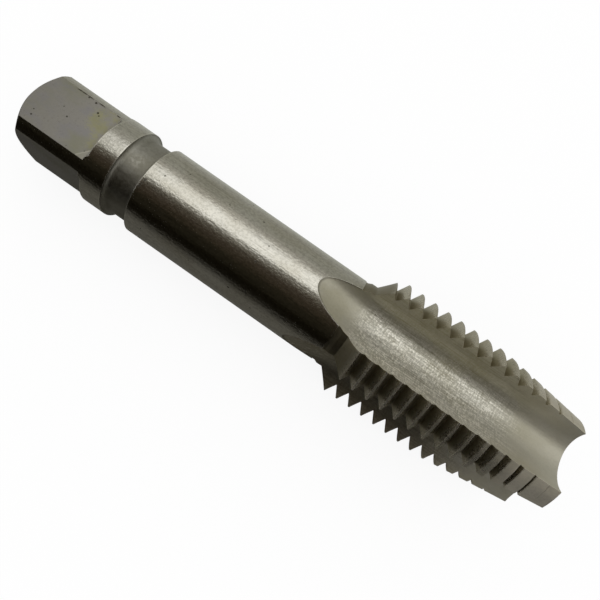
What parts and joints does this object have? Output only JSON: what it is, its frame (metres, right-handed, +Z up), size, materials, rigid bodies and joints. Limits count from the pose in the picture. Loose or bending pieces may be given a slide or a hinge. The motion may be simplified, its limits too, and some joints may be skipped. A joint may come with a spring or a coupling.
{
  "type": "thread tap",
  "caption": "Straight-fluted hand tap with a reduced round shank and a driving square, for cutting a coarse internal thread.",
  "frame": {"origin": "centre of the bounding box in X and Y, at the height of the surface the tap lies on", "axes": "+X along the tap from the square end to the cutting tip, +Z up; the axis of the tap rises 2.19 degrees towards the tip because the threaded end is thicker than the shank"},
  "size_m": [0.1626, 0.0312, 0.0324],
  "materials": {
    "steel": "ground bright steel, duller in the ring groove and the flutes"
  },
  "bodies": {
    "root": {"thread_tap": "steel"}
  },
  "joints": []
}
